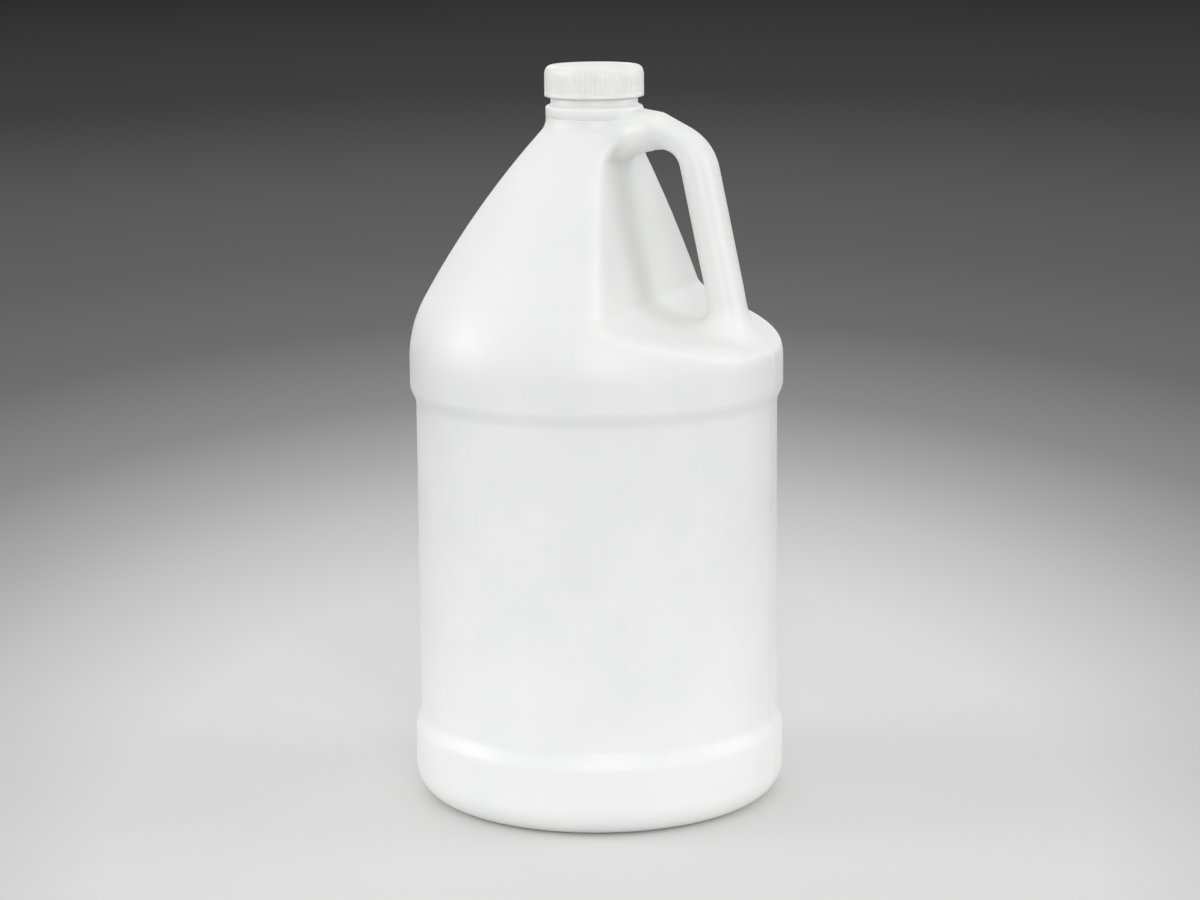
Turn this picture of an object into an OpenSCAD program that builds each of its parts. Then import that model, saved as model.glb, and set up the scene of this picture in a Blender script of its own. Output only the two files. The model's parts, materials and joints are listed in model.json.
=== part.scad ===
// Round blow-moulded dispensing jug with a hollow side handle and a screw cap.
// Millimetres, +Z up, origin at the centre of the base, handle towards +X.

/* [Body] */
// Outer diameter over the heel band and the shoulder band
body_d = 152; // [140:1:164]
// Height at which the shoulder starts to curve in
shoulder_z = 182; // [150:1:210]
// Height of the straight shoulder band
shoulder_band_h = 10; // [6:1:20]
// Height of the top of the heel band
heel_band_z = 28; // [22:1:40]
// Depth of the label panel behind the bands
panel_depth = 2.4; // [1:0.1:4]
// Height of the soft step between a band and the panel
panel_step_h = 8; // [5:0.5:14]
// Radius of the heel
heel_r = 13; // [8:0.5:18]
// Width of the flat ring that the jug stands on
foot_w = 8; // [4:0.5:14]
// Height of the pushed-up middle of the base
push_up_h = 5; // [2:0.5:9]
// Wall thickness of the blown skin
wall = 1; // [0.8:0.1:1.8]

/* [Dome] */
// Radius of the shoulder's curve
shoulder_r = 50; // [40:1:60]
// Angle from vertical at which the shoulder runs into the dome
shoulder_turn = 29; // [24:1:33]
// Radius of the dome's side
dome_side_r = 360; // [300:5:450]
// Radius of the hollow curve from the dome to the neck
root_r = 8; // [5:0.5:12]

/* [Neck] */
// Diameter of the neck under the thread
neck_d = 35.1; // [33:0.1:38]
// Depth of the thread that the neck carries
thread_depth = 1.15; // [0.8:0.05:1.6]
// Wall thickness of the neck
neck_wall = 2.15; // [1.5:0.05:3]
// How far the collar under the cap stands out from the neck
collar_lip = 2.05; // [1.5:0.05:3.5]
// Height of the collar
collar_h = 5; // [4:0.5:7]
// Height of the neck above the collar
finish_h = 13.9; // [12.5:0.1:18]

/* [Pocket and handle] */
// Distance from the axis to the pocket's face at its roof
pocket_x = 12; // [10:0.5:15]
// Clear width of the finger gap between the pocket and the grip
finger_gap = 24; // [20:0.5:30]
// Lean of the pocket's face and of the grip from vertical
handle_lean = 12; // [8:0.5:16]
// Height of the ledge's outer edge above the start of the shoulder
ledge_rise = 8.5; // [7:0.5:18]
// Slope of the ledge under the grip
ledge_slope = 12; // [10:1:24]
// Depth of the pocket's roof below the top of the collar
roof_drop = 17.2; // [16:0.2:20]
// Depth of the grip, from the finger side to the outside
grip_depth = 13.8; // [11:0.1:16]
// Width of the grip across the hand
grip_width = 21; // [17:0.5:26]
// Slope of the top of the arm that joins the grip to the neck
arm_slope = 27; // [20:1:34]

/* [Cap] */
// Thickness of the cap's skirt between its ribs
cap_skirt_t = 0.7; // [0.6:0.05:1.5]
// Height of the skirt and the top together
cap_h = 12.4; // [11:0.1:13]
// Thickness of the cap's top plate
cap_top_t = 1.1; // [0.8:0.1:2]
// Radius of the cap's top edge
cap_edge_r = 2.6; // [1.5:0.1:3]
// Gap between the thread's crests and the cap's skirt
cap_clearance = 0.3; // [0.2:0.05:0.5]
// Number of grip ribs round the skirt
rib_count = 60; // [36:6:90]
// Depth of the grip ribs
rib_depth = 0.3; // [0.2:0.05:0.4]
// Thickness of the liner
liner_t = 1; // [0.6:0.1:1.5]

/* [Hidden] */

// Roundness of true circles
$fn = 96;

// Radii and heights that follow from the sizes above
body_r = body_d / 2;
panel_r = body_r - panel_depth;
shoulder_band_z = shoulder_z - shoulder_band_h;
foot_r = body_r - heel_r;
inner_foot_r = foot_r - foot_w;

// Neck radii, each from the neck and a depth of its own
neck_r = neck_d / 2;
mouth_r = neck_r - neck_wall;
thread_r = neck_r + thread_depth;
collar_r = neck_r + collar_lip;

// Step that keeps one skin inside the other where two of them overlap, and how far they overlap
seam = 0.1;
lap = 2;

// Dome outline: a shoulder arc, a long flat arc and a hollow arc, each tangent to the next
turn_x = body_r - shoulder_r * (1 - cos(shoulder_turn));
turn_z = shoulder_z + shoulder_r * sin(shoulder_turn);
dome_x = turn_x - dome_side_r * cos(shoulder_turn);
dome_z = turn_z - dome_side_r * sin(shoulder_turn);
root_turn = acos((collar_r - seam + root_r - dome_x) / (dome_side_r + root_r));
root_low_z = dome_z + dome_side_r * sin(root_turn);
root_z = root_low_z + root_r * sin(root_turn);

// Neck heights, and the small edges of the collar and the lip
bore_rise = 1;
collar_foot = 0.6;
collar_edge = 1;
collar_fall = 0.8;
lip_edge = 0.5;
collar_z = root_z + collar_h;
lip_z = collar_z + finish_h;
bore_z = root_z + bore_rise;

// Pocket: its roof, its ledge and the softness of the corners between its faces
roof_z = collar_z - roof_drop;
ledge_z = shoulder_z + ledge_rise;
roof_turn = 50;
floor_blend = 24;
roof_blend = 8;
edge_power = 12;

// Heights of the rings that the dome's skin is drawn through, closest on the ledge
ledge_lead = 3;
roof_lead = 5;
ledge_low = ledge_z - ledge_lead;
ledge_high = ledge_z + body_r * tan(ledge_slope);
roof_low = roof_z - roof_lead;
ring_z = concat(
    [shoulder_z - lap],
    steps(shoulder_z, ledge_low, 2),
    steps_after(ledge_low, ledge_high, 15),
    steps_after(ledge_high, roof_low, 7),
    steps_after(roof_low, root_z, 8)
);

// Directions of the ring points, closer together on the pocket's side
pocket_points = 36;
back_points = 20;
ring_angles = concat(
    [for (k = [0:pocket_points - 1]) -90 + 180 * k / pocket_points],
    [for (k = [0:back_points - 1]) 90 + 180 * k / back_points]
);

// Handle: where its edges leave the neck, bend and reach the foot
grip_x = pocket_x + finger_gap;
grip_span = grip_depth / cos(handle_lean);
arm_start_x = 4;
arm_flat = 5.4;
arm_drop = 1;
foot_depth = 6;
foot_flare_h = 14;
foot_flare = 4;
arm_top_z = collar_z - arm_drop;
arm_flat_x = collar_r + arm_flat;
foot_low_z = ledge_z - foot_depth;

// Handle bends: the finger-side bends share the run from the neck to the grip
arm_run = grip_x - arm_flat_x;
arm_share = 0.4;
arm_setback = arm_share * arm_run;
inner_setback = (1 - arm_share) * arm_run;
outer_setback = 12;

// Handle sections: points round each one and how full its corners are
section_points = 20;
section_power = 2.4;

// Cap: places that follow from the thread, the lip and the liner
cap_bore_r = thread_r + cap_clearance;
cap_core_r = cap_bore_r + cap_skirt_t;
cap_r = cap_core_r + rib_depth;
cap_corner_r = 1;
liner_gap = 0.2;
liner_r = cap_bore_r - cap_corner_r - liner_gap;
liner_top_z = lip_z + liner_t;
cap_top_z = liner_top_z + cap_top_t;
cap_low_z = cap_top_z - cap_h;
bead_h = 1.2;
bead_fall = 0.4;

// Where a rib's sides start and end, as parts of the ribs' pitch
rib_shape = [0.1, 0.35, 0.65, 0.9];

// Number of flats along the curves
push_up_flats = 7;
heel_flats = 8;
step_flats = 5;
bend_flats = 6;
edge_flats = 4;
lip_flats = 3;

// Evenly spaced values from one value to another, both included
function steps(from, to, count) = [for (i = [0:count]) from + (to - from) * i / count];

// The same values without the first
function steps_after(from, to, count) = [for (i = [1:count]) from + (to - from) * i / count];

// Points along an arc in the outline plane
function arc(centre, radius, from, to, count) =
    [for (a = steps(from, to, count)) centre + radius * [cos(a), sin(a)]];

// Points along a soft S-shaped step between two radii
function soft_step(r0, z0, r1, z1) =
    [for (t = steps(0, 1, step_flats)) [r0 + (r1 - r0) * (1 - cos(180 * t)) / 2, z0 + (z1 - z0) * t]];

// Points along a rounded corner that starts and ends at a set distance from it
function corner(before, at, after, setback, count) =
    let (a = at + setback * (before - at) / norm(before - at),
         b = at + setback * (after - at) / norm(after - at))
    [for (t = steps(0, 1, count)) (1 - t) * (1 - t) * a + 2 * t * (1 - t) * at + t * t * b];

// The larger of two values, with a soft change from one to the other
function soft_max(a, b, blend) =
    let (overlap = max(blend - abs(a - b), 0))
    max(a, b) + overlap * overlap / (4 * blend);

// Radius of the dome at a height, set in by an inset measured square to the skin
function dome_radius(z, inset) =
    z <= shoulder_z ? body_r - inset
    : z <= turn_z - inset * sin(shoulder_turn)
        ? body_r - shoulder_r + sqrt(pow(shoulder_r - inset, 2) - pow(z - shoulder_z, 2))
    : z <= root_low_z - inset * sin(root_turn)
        ? dome_x + sqrt(pow(dome_side_r - inset, 2) - pow(z - dome_z, 2))
    : collar_r - seam + root_r - sqrt(pow(root_r + inset, 2) - pow(min(root_z - z, root_r), 2));

// Distance from the axis to the pocket's wall at a height, set in as above
function pocket_wall(z, inset) =
    let (face = pocket_x + (roof_z - z) * tan(handle_lean) - inset / cos(handle_lean),
         ledge = body_r - (z - ledge_z) / tan(ledge_slope) - inset / sin(ledge_slope),
         roof = pocket_x + (z - roof_z) * tan(roof_turn) - inset / cos(roof_turn))
    soft_max(soft_max(face, ledge, floor_blend), roof, roof_blend);

// One ring of the dome's skin: a circle, softly cut off by the pocket's wall
function dome_ring(z, inset) =
    let (r = dome_radius(z, inset) - (z <= shoulder_z ? seam : 0), flat = pocket_wall(z, inset))
    [for (a = ring_angles)
        let (cut = max(cos(a), 0) / flat,
             reach = pow(pow(1 / r, edge_power) + pow(cut, edge_power), -1 / edge_power))
        [reach * cos(a), reach * sin(a), z]];

// A point at a height on a line that leans as the grip does
function on_grip(x_at_roof, z) = [x_at_roof + (roof_z - z) * tan(handle_lean), z];

// Finger-side edge of the handle, from the neck to the foot
function inner_edge(inset) =
    let (z = roof_z + inset,
         x = grip_x + inset / cos(handle_lean),
         start = [arm_start_x, z],
         middle = [arm_flat_x, z],
         bend = on_grip(x, z),
         flare = on_grip(x, ledge_z + foot_flare_h),
         foot = on_grip(x - foot_flare, foot_low_z))
    concat([start],
        corner(start, middle, bend, arm_setback, lip_flats),
        corner(middle, bend, flare, inner_setback, bend_flats),
        [flare, foot]);

// Outer edge of the handle, from the neck to the foot
function outer_edge(inset) =
    let (z = inset > 0 ? bore_z - lap : arm_top_z,
         x = grip_x + grip_span - inset / cos(handle_lean),
         drop = inset / cos(arm_slope),
         flat_x = arm_flat_x + (arm_top_z - drop - z) / tan(arm_slope),
         fall = (x - arm_flat_x) * tan(arm_slope),
         bend_z = roof_z + (arm_top_z - drop - fall - roof_z) / (1 - tan(handle_lean) * tan(arm_slope)),
         start = [arm_start_x, z],
         middle = [flat_x, z],
         bend = on_grip(x, bend_z),
         flare = on_grip(x, ledge_z + foot_flare_h),
         foot = on_grip(x + foot_flare, foot_low_z))
    concat([start],
        corner(start, middle, bend, arm_setback, lip_flats),
        corner(middle, bend, flare, outer_setback, bend_flats),
        [flare, foot]);

// One oval section of the handle between a point on each edge
function handle_ring(inner, outer, width) =
    let (middle = (inner + outer) / 2, half = (outer - inner) / 2)
    [for (k = [0:section_points - 1])
        let (a = 360 * k / section_points,
             u = sign(cos(a)) * pow(abs(cos(a)), 2 / section_power),
             v = sign(sin(a)) * pow(abs(sin(a)), 2 / section_power))
        [middle[0] + half[0] * u, -v * width / 2, middle[1] + half[1] * u]];

// Closed solid through rings that have the same number of points
module loft(rings) {
    n = len(rings[0]);
    last = len(rings) - 1;
    polyhedron(
        points = [for (ring = rings) each ring],
        faces = concat(
            [[for (k = [0:n - 1]) k]],
            [for (i = [0:last - 1], k = [0:n - 1], upper = [0, 1])
                let (a = i * n + k, b = i * n + (k + 1) % n)
                upper == 1 ? [a, a + n, b + n] : [a, b + n, b]],
            [[for (k = [n - 1:-1:0]) last * n + k]]
        )
    );
}

// Base, heel band, label panel and shoulder band, set in by an inset
module lower_skin(inset) {
    r = body_r - inset;
    p = panel_r - inset;
    rotate_extrude() polygon(concat(
        [[0, push_up_h + inset]],
        [for (t = steps(1 / push_up_flats, 1, push_up_flats - 1)) [inner_foot_r * t, inset + push_up_h * (1 + cos(180 * t)) / 2]],
        arc([foot_r, heel_r], heel_r - inset, -90, 0, heel_flats),
        soft_step(r, heel_band_z, p, heel_band_z + panel_step_h),
        soft_step(p, shoulder_band_z - panel_step_h, r, shoulder_band_z),
        [[r, shoulder_z], [0, shoulder_z]]
    ));
}

// Shoulder, dome and handle pocket, set in by an inset
module dome_skin(inset) {
    top_r = inset > 0 ? mouth_r + 4 * seam : collar_r - 4 * seam;
    top_z = inset > 0 ? bore_z : root_z + lap;
    top = [for (a = ring_angles) [top_r * cos(a), top_r * sin(a), top_z]];
    loft(concat([for (z = ring_z) dome_ring(z, inset)], [top]));
}

// Hollow handle with its arm and foot, set in by an inset
module handle_skin(inset) {
    inner = inner_edge(inset);
    outer = outer_edge(inset);
    last = len(inner) - 1;
    width = grip_width - 2 * inset;
    loft([for (i = [0:last]) handle_ring(inner[i], outer[i], i == last ? width + 2 * foot_flare : width)]);
}

// Collar and neck up to the lip, without the mouth
module neck() {
    rotate_extrude() polygon(concat(
        [[0, root_z], [collar_r - collar_foot, root_z], [collar_r, root_z + collar_foot]],
        arc([collar_r - collar_edge, collar_z - collar_edge], collar_edge, 0, 90, edge_flats),
        [[neck_r, collar_z + collar_fall]],
        arc([neck_r - lip_edge, lip_z - lip_edge], lip_edge, 0, 90, lip_flats),
        [[0, lip_z]]
    ));
}

// The blown jug: one wall, open at the mouth
module jug_body() {
    color("#f1f2f0")
    difference() {
        union() {
            lower_skin(0);
            dome_skin(0);
            handle_skin(0);
            neck();
        }
        union() {
            lower_skin(wall);
            dome_skin(wall);
            handle_skin(wall);
            translate([0, 0, bore_z - lap / 2]) cylinder(r = mouth_r, h = lip_z - bore_z + lap);
        }
    }
}

// Ribs round the skirt, drawn as one toothed ring
module cap_ribs() {
    pitch = 360 / rib_count;
    radii = [cap_core_r, cap_r, cap_r, cap_core_r];
    translate([0, 0, cap_low_z + bead_h / 2])
    linear_extrude(cap_h - cap_edge_r - bead_h / 2)
    difference() {
        polygon([for (k = [0:rib_count - 1], side = [0:3])
            let (a = pitch * (k + rib_shape[side]))
            (radii[side] - seam / 2) * [cos(a), sin(a)]]);
        circle(r = cap_bore_r + cap_skirt_t / 2);
    }
}

// Screw cap: a round-edged cup with a ribbed skirt and a bead at its foot
module screw_cap() {
    color("#f4f4f2") {
        rotate_extrude() polygon(concat(
            [[0, cap_top_z]],
            arc([cap_core_r - cap_edge_r, cap_top_z - cap_edge_r], cap_edge_r, 90, 0, bend_flats),
            [[cap_core_r, cap_low_z + bead_h + bead_fall], [cap_r, cap_low_z + bead_h]],
            [[cap_r, cap_low_z], [cap_bore_r, cap_low_z]],
            arc([cap_bore_r - cap_corner_r, liner_top_z - cap_corner_r], cap_corner_r, 0, 90, edge_flats),
            [[0, liner_top_z]]
        ));
        cap_ribs();
    }
}

// Foam disc between the cap's top plate and the lip
module cap_liner() {
    color("#e9e9e6") translate([0, 0, lip_z]) cylinder(r = liner_r, h = liner_t);
}

jug_body();
screw_cap();
cap_liner();
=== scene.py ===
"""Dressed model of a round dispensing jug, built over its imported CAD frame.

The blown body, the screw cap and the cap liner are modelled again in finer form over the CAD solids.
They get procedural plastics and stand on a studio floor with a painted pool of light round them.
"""

import json
import logging
import math
from collections.abc import Callable, Sequence
from dataclasses import dataclass
from enum import Enum

import bmesh
import bpy
from mathutils import Matrix, Vector

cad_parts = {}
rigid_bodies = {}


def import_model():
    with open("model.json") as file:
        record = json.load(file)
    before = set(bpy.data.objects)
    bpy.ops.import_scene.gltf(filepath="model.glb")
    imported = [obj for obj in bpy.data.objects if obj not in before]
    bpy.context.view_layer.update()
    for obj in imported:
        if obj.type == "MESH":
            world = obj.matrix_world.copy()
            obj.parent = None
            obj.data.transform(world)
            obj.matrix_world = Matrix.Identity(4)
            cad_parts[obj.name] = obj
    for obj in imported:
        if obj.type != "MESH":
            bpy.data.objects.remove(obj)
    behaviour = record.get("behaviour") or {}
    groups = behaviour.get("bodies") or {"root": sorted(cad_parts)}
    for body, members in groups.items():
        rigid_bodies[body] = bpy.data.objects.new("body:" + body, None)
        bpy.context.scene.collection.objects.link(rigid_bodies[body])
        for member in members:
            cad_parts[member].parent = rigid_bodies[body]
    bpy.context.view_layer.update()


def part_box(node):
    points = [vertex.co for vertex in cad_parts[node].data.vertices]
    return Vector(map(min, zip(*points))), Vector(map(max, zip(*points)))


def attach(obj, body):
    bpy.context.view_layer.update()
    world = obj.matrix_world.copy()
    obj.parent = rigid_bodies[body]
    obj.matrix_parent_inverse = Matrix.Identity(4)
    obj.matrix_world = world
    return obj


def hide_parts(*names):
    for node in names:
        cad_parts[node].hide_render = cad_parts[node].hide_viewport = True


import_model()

log = logging.getLogger("dispensing_jug")

# One millimetre in the frame's metres. Sizes below are in millimetres unless a name says otherwise.
MM = 0.001

# Points of one piece that lie closer than this are merged.
MERGE_GAP = 0.002

# Rise of the screw thread in one turn, and how many turns it runs.
THREAD_PITCH = 4.233
THREAD_TURNS = 1.4

Outline = list[tuple[float, float]]
Ring = list[Vector]


class Join(Enum):
    """Ways in which one solid is worked into another."""

    ADD = "UNION"
    CUT = "DIFFERENCE"


class Body(Enum):
    """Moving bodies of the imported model."""

    JUG = "jug"
    CAP = "cap"
    LINER = "liner"


class Slot(Enum):
    """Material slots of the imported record."""

    JUG = "jug_hdpe"
    CAP = "cap_polypropylene"
    LINER = "liner_foam"


def linear(hex_colour: str) -> tuple[float, float, float, float]:
    """Turns an sRGB hex colour into a linear one.

    Args:
        hex_colour: Colour written as #rrggbb.

    Returns:
        Linear red, green, blue and an alpha of 1.
    """
    parts = [int(hex_colour[at : at + 2], 16) / 255 for at in (1, 3, 5)]
    red, green, blue = (p / 12.92 if p <= 0.04045 else ((p + 0.055) / 1.055) ** 2.4 for p in parts)
    return red, green, blue, 1.0


def add_node(
    tree: bpy.types.NodeTree,
    kind: str,
    settings: dict[str, object] | None = None,
    values: dict[str, object] | None = None,
    links: dict[str, bpy.types.NodeSocket] | None = None,
) -> bpy.types.Node:
    """Adds a node to a material.

    Args:
        tree: Node tree of the material.
        kind: Blender's name for the node type.
        settings: Properties of the node.
        values: Values of its input sockets, by name or number.
        links: Output sockets to link to its input sockets, by name or number.

    Returns:
        The new node.
    """
    node = tree.nodes.new(kind)
    for name, value in (settings or {}).items():
        setattr(node, name, value)
    for socket, value in (values or {}).items():
        node.inputs[socket].default_value = value
    for socket, source in (links or {}).items():
        tree.links.new(source, node.inputs[socket])
    return node


def start_material(name: str) -> tuple[bpy.types.Material, bpy.types.NodeTree, bpy.types.Node]:
    """Makes a material, and gives it with its node tree and its shader."""
    made = bpy.data.materials.new(name)
    made.use_nodes = True
    return made, made.node_tree, made.node_tree.nodes["Principled BSDF"]


def add_noise(
    tree: bpy.types.NodeTree, place: bpy.types.NodeSocket, size_mm: float, detail: float
) -> bpy.types.NodeSocket:
    """Adds a noise pattern to a material.

    Args:
        tree: Node tree of the material.
        place: Object coordinates.
        size_mm: Size of the pattern.
        detail: How many finer layers it has.

    Returns:
        The pattern's strength, from 0 to 1.
    """
    values = {"Scale": 1 / (size_mm * MM), "Detail": detail}
    return add_node(tree, "ShaderNodeTexNoise", values=values, links={"Vector": place}).outputs[0]


def add_tint(
    tree: bpy.types.NodeTree, value: bpy.types.NodeSocket, stops: Sequence[tuple[float, str]]
) -> bpy.types.NodeSocket:
    """Adds a colour ramp to a material.

    Args:
        tree: Node tree of the material.
        value: Value that picks the colour.
        stops: Places on the ramp, from 0 to 1, with their hex colours.

    Returns:
        The colour.
    """
    ramp = add_node(tree, "ShaderNodeValToRGB", links={"Fac": value})
    elements = ramp.color_ramp.elements
    while len(elements) < len(stops):
        elements.new(1.0)
    for element, (position, colour) in zip(elements, stops):
        element.position = position
        element.color = linear(colour)
    return ramp.outputs["Color"]


def spread(start: float, end: float, count: int) -> list[float]:
    """Gives evenly spaced values from start to end, both included, in count steps."""
    return [start + (end - start) * step / count for step in range(count + 1)]


def arc(x: float, z: float, radius: float, start: float, end: float, count: int) -> Outline:
    """Gives points along an arc in the outline plane.

    Args:
        x: Centre's distance from the axis.
        z: Centre's height.
        radius: Radius of the arc.
        start: First angle, in degrees.
        end: Last angle, in degrees.
        count: Number of steps.

    Returns:
        Points as distance from the axis and height.
    """
    angles = [math.radians(a) for a in spread(start, end, count)]
    return [(x + radius * math.cos(a), z + radius * math.sin(a)) for a in angles]


def soft_step(r0: float, z0: float, r1: float, z1: float, count: int) -> Outline:
    """Gives points along a soft S-shaped step from one radius and height to another."""
    return [
        (r0 + (r1 - r0) * (1 - math.cos(math.pi * t)) / 2, z0 + (z1 - z0) * t)
        for t in spread(0, 1, count)
    ]


def soft_max(a: float, b: float, width: float) -> float:
    """Gives the larger of two values, with a soft change from one to the other over a width."""
    overlap = max(width - abs(a - b), 0)
    return max(a, b) + overlap * overlap / (4 * width)


def start_fresh() -> None:
    """Leaves edit mode and deselects everything."""
    if bpy.context.object and bpy.context.object.mode != "OBJECT":
        bpy.ops.object.mode_set(mode="OBJECT")
    bpy.ops.object.select_all(action="DESELECT")


def make_active(piece: bpy.types.Object) -> None:
    """Selects one piece and makes it the active one."""
    start_fresh()
    piece.select_set(True)
    bpy.context.view_layer.objects.active = piece


def select_points(piece: bpy.types.Object, test: Callable[[Vector], bool]) -> None:
    """Selects the points of a piece in edit mode that pass a test of their place in millimetres."""
    bpy.ops.mesh.select_all(action="DESELECT")
    mesh = bmesh.from_edit_mesh(piece.data)
    for point in mesh.verts:
        point.select_set(test(point.co / MM))
    mesh.select_flush(True)
    bmesh.update_edit_mesh(piece.data)


def drop_points(piece: bpy.types.Object, test: Callable[[Vector], bool]) -> None:
    """Deselects the points of a piece in edit mode that pass a test of their place in millimetres."""
    mesh = bmesh.from_edit_mesh(piece.data)
    for point in mesh.verts:
        if point.select and test(point.co / MM):
            point.select_set(False)
    mesh.select_flush(False)
    bmesh.update_edit_mesh(piece.data)


def turned(name: str, outline: Outline, sides: int) -> bpy.types.Object:
    """Turns an outline about the Z axis into a closed piece.

    Args:
        name: Name of the piece.
        outline: Points from the axis round to the axis again.
        sides: Number of steps in the turn.

    Returns:
        The new piece, at the origin.
    """
    start_fresh()
    bpy.ops.mesh.primitive_plane_add(size=MM)
    piece = bpy.context.object
    piece.name = name
    bpy.ops.object.mode_set(mode="EDIT")
    bpy.ops.mesh.merge(type="CENTER")
    x, z = outline[0]
    bpy.ops.transform.translate(value=(x * MM, 0, z * MM))
    for next_x, next_z in outline[1:]:
        move = ((next_x - x) * MM, 0, (next_z - z) * MM)
        bpy.ops.mesh.extrude_vertices_move(TRANSFORM_OT_translate={"value": move})
        x, z = next_x, next_z
    bpy.ops.mesh.select_all(action="SELECT")
    bpy.ops.mesh.spin(steps=sides, angle=math.tau, center=(0, 0, 0), axis=(0, 0, 1))
    bpy.ops.mesh.select_all(action="SELECT")
    bpy.ops.mesh.remove_doubles(threshold=MERGE_GAP * MM)
    bpy.ops.mesh.normals_make_consistent(inside=False)
    bpy.ops.object.mode_set(mode="OBJECT")
    return piece


def lofted(name: str, rings: Sequence[Ring]) -> bpy.types.Object:
    """Rolls a grid into a closed tube through rings of points.

    Args:
        name: Name of the piece.
        rings: Rings that have the same number of points, in millimetres.

    Returns:
        The new piece, at the origin.
    """
    columns = len(rings[0])
    start_fresh()
    bpy.ops.mesh.primitive_grid_add(x_subdivisions=columns, y_subdivisions=len(rings) - 1, size=1)
    piece = bpy.context.object
    piece.name = name
    for index, point in enumerate(piece.data.vertices):
        row, column = divmod(index, columns + 1)
        point.co = rings[row][column % columns] * MM
    bpy.ops.object.mode_set(mode="EDIT")
    bpy.ops.mesh.select_all(action="SELECT")
    bpy.ops.mesh.remove_doubles(threshold=MERGE_GAP * MM)
    bpy.ops.mesh.fill_holes(sides=0)
    bpy.ops.mesh.select_all(action="SELECT")
    bpy.ops.mesh.normals_make_consistent(inside=False)
    bpy.ops.object.mode_set(mode="OBJECT")
    return piece


def swept_thread(
    name: str, radius: float, depth: float, start_z: float, start_turn: float
) -> bpy.types.Object:
    """Sweeps a right-hand thread ridge that fades out at both ends.

    Args:
        name: Name of the piece.
        radius: Radius of the wall that carries it.
        depth: How far it stands off the wall, negative for an inner thread.
        start_z: Height of its lower end.
        start_turn: Direction of its lower end, in turns.

    Returns:
        A closed ridge, rooted in the wall.
    """
    steps_per_turn = 96
    fade_rate = 6
    end_share = 0.08
    root = -math.copysign(0.25, depth)
    # Each point has its share of the depth, or the root's place in the wall, and its height.
    section = [(root, -1.15), (0.0, -1.1), (0.8, -0.55), (1.0, -0.3)]
    section += [(1.0, 0.3), (0.8, 0.55), (0.0, 1.1), (root, 1.15)]
    rings = []
    for t in spread(0, 1, round(steps_per_turn * THREAD_TURNS)):
        fade = min(1.0, fade_rate * t, fade_rate * (1 - t))
        height = depth * (end_share + (1 - end_share) * math.sin(fade * math.pi / 2))
        angle = math.tau * (start_turn + THREAD_TURNS * t)
        middle_z = start_z + THREAD_PITCH * THREAD_TURNS * t
        ring = []
        for out, up in section:
            reach = radius + (out if out == root else out * height)
            ring.append(Vector((reach * math.cos(angle), reach * math.sin(angle), middle_z + up)))
        rings.append(ring)
    return lofted(name, rings)


def settle_order(piece: bpy.types.Object) -> None:
    """Sorts a mesh by place, because a Boolean gives its points in another order each run."""
    mesh = bmesh.new()
    mesh.from_mesh(piece.data)
    for parts, place in (
        (mesh.verts, lambda point: point.co),
        (mesh.edges, lambda edge: (edge.verts[0].co + edge.verts[1].co) / 2),
        (mesh.faces, lambda face: face.calc_center_median()),
    ):
        by_place = sorted(parts, key=lambda part: tuple(place(part)))
        ranks = {part: rank for rank, part in enumerate(by_place)}
        parts.sort(key=ranks.get)
    mesh.to_mesh(piece.data)
    mesh.free()


def work_in(piece: bpy.types.Object, tool: bpy.types.Object, how: Join) -> None:
    """Joins a tool to a piece or cuts it out, and removes the tool.

    Args:
        piece: Piece that is changed.
        tool: Closed solid that is used up.
        how: Whether the tool is added or cut out.
    """
    make_active(piece)
    bpy.ops.object.modifier_add(type="BOOLEAN")
    modifier = piece.modifiers[-1]
    modifier.operation = how.value
    modifier.solver = "EXACT"
    modifier.object = tool
    bpy.ops.object.modifier_apply(modifier=modifier.name)
    bpy.data.objects.remove(tool, do_unlink=True)
    settle_order(piece)


def finish_piece(
    piece: bpy.types.Object,
    material: bpy.types.Material,
    body: Body,
    sharp_angle: float,
    node: str | None = None,
) -> None:
    """Shades a piece, dresses it and hangs it on its body.

    Args:
        piece: Finished mesh.
        material: Its finish.
        body: Body that it moves with.
        sharp_angle: Angle in degrees above which an edge stays sharp.
        node: CAD node that it stands for, if any.
    """
    make_active(piece)
    bpy.ops.object.shade_smooth_by_angle(angle=math.radians(sharp_angle))
    piece.data.materials.clear()
    piece.data.materials.append(material)
    if node:
        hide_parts(node)
    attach(piece, body.value)
    log.info("%s: %d faces on %s", piece.name, len(piece.data.polygons), body.value)


def frame_radius() -> float:
    """Gives the body's outer radius in metres, from the CAD frame."""
    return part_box("jug_body")[1].x


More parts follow.
